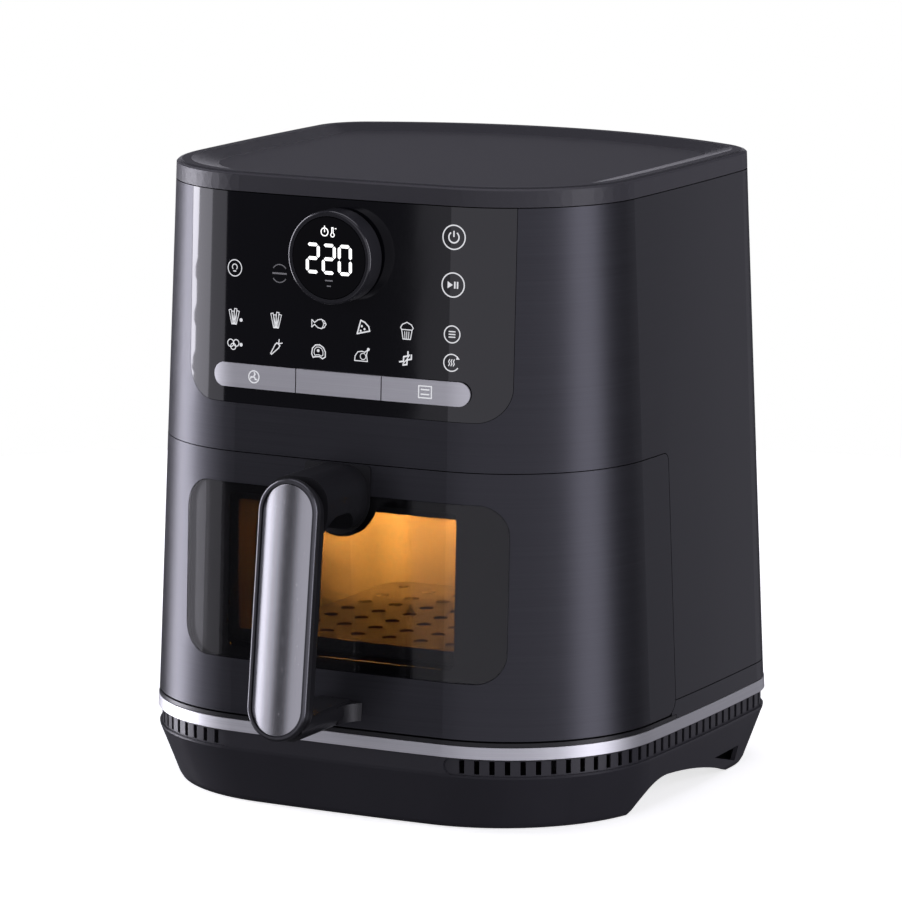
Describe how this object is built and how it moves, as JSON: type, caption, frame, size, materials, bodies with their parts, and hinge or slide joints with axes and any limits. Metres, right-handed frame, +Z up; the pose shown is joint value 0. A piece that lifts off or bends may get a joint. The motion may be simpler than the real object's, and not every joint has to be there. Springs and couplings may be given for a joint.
{
  "type": "air fryer",
  "caption": "Countertop air fryer with a glass-windowed pull-out drawer, turning ring dial, press keys, convection fan and lift-out crisper plate.",
  "frame": {"origin": "middle of the footprint's bounding box, on the table plane", "axes": "+Z up, the front with the handle faces -Y, +X to the user's right"},
  "size_m": [0.2856, 0.3402, 0.33],
  "materials": {
    "lid_plastic": "fine satin moulding",
    "body_paint": "charcoal paint over a moulding, horizontally brushed",
    "band_steel": "horizontally brushed",
    "panel_gloss": "piano black",
    "bar_steel": "brushed, satin",
    "dial_metal": "dark satin metal",
    "black_plastic": "satin",
    "display_gloss": "glossy lens",
    "white_plastic": "satin",
    "circuit_board": "solder resist",
    "spring_steel": "bright",
    "liner_steel": "heat-proof coating",
    "zinc_steel": "zinc plated sheet",
    "heater_steel": "oxidised tube",
    "white_ceramic": "unglazed",
    "fan_aluminium": "pressed sheet",
    "copper_winding": "enamelled wire",
    "bearing_brass": "sintered",
    "clear_glass": "clear",
    "smoked_glass": "smoked",
    "mask_print": "printed black",
    "base_plastic": "fine texture",
    "screw_steel": "plated",
    "foot_rubber": "matte",
    "seal_silicone": "matte",
    "nonstick_coat": "non-stick coating",
    "handle_steel": "satin brushed",
    "bezel_metal": "dark satin",
    "handle_plastic": "satin"
  },
  "bodies": {
    "housing": {"base_plate": "base_plastic", "base_screws": "screw_steel", "base_skirt": "base_plastic", "body_shell": "body_paint", "chamber_liner": "liner_steel", "control_board": "circuit_board", "control_panel": "panel_gloss", "cord_gland": "foot_rubber", "dial_encoder": "black_plastic", "display_holder": "black_plastic", "display_lens": "display_gloss", "display_module": "white_plastic", "drawer_switch": "black_plastic", "exhaust_duct": "liner_steel", "exhaust_grille": "black_plastic", "front_frame": "black_plastic", "heater_bushes": "white_ceramic", "heater_coil": "heater_steel", "heater_guard": "liner_steel", "lamp_bulb": "clear_glass", "lamp_housing": "zinc_steel", "lamp_lens": "clear_glass", "latch_springs": "spring_steel", "liner_brackets": "zinc_steel", "lower_side_strip": "body_paint", "mode_bar_centre": "bar_steel", "motor_bearings": "bearing_brass", "motor_bracket": "zinc_steel", "motor_cover": "zinc_steel", "motor_stator": "zinc_steel", "motor_windings": "copper_winding", "power_board": "circuit_board", "rubber_feet": "foot_rubber", "slide_rails": "zinc_steel", "thermal_cutout": "white_ceramic", "top_lid": "lid_plastic", "touch_contacts": "spring_steel", "trim_band": "band_steel"},
    "drawer": {"drawer_front_shell": "body_paint", "drawer_front_inner": "black_plastic", "drawer_screws": "screw_steel", "drawer_seal": "seal_silicone", "window_outer_pane": "smoked_glass", "window_mask": "mask_print", "window_inner_pane": "clear_glass", "window_gasket": "seal_silicone", "basket_pan": "nonstick_coat", "handle_plate": "handle_steel", "handle_bezel": "bezel_metal", "handle_core": "handle_plastic", "handle_screws": "screw_steel"},
    "plate": {"crisper_plate": "nonstick_coat", "plate_bumpers": "seal_silicone"},
    "dial": {"dial_ring": "dial_metal"},
    "key_left": {"mode_key_left": "bar_steel"},
    "key_right": {"mode_key_right": "bar_steel"},
    "fan": {"convection_fan": "fan_aluminium", "cooling_fan": "black_plastic", "motor_shaft": "spring_steel"},
    "plunger": {"switch_plunger": "white_plastic"}
  },
  "joints": [
    {"name": "drawer_slide", "type": "slide", "parent": "housing", "child": "drawer", "axis": [0, -1, 0], "range_m": [0, 0.25]},
    {"name": "plate_lift", "type": "slide", "parent": "drawer", "child": "plate", "axis": [0, 0, 1], "range_m": [0, 0.085]},
    {"name": "dial_turn", "type": "hinge", "parent": "housing", "child": "dial", "pos_m": [0, -0.11178, 0.2916], "axis": [0, 1, 0], "continuous": true},
    {"name": "key_left_press", "type": "slide", "parent": "housing", "child": "key_left", "axis": [0, 1, 0], "range_m": [0, 0.0008], "stiffness_N_per_m": 900, "springref_m": -0.0006},
    {"name": "key_right_press", "type": "slide", "parent": "housing", "child": "key_right", "axis": [0, 1, 0], "range_m": [0, 0.0008], "stiffness_N_per_m": 900, "springref_m": -0.0006},
    {"name": "fan_spin", "type": "hinge", "parent": "housing", "child": "fan", "pos_m": [0, 0.02852, 0.208], "axis": [0, 0, 1], "continuous": true},
    {"name": "plunger_press", "type": "slide", "parent": "housing", "child": "plunger", "axis": [0, 1, 0], "range_m": [0, 0.0012], "stiffness_N_per_m": 300, "springref_m": -0.0006}
  ]
}
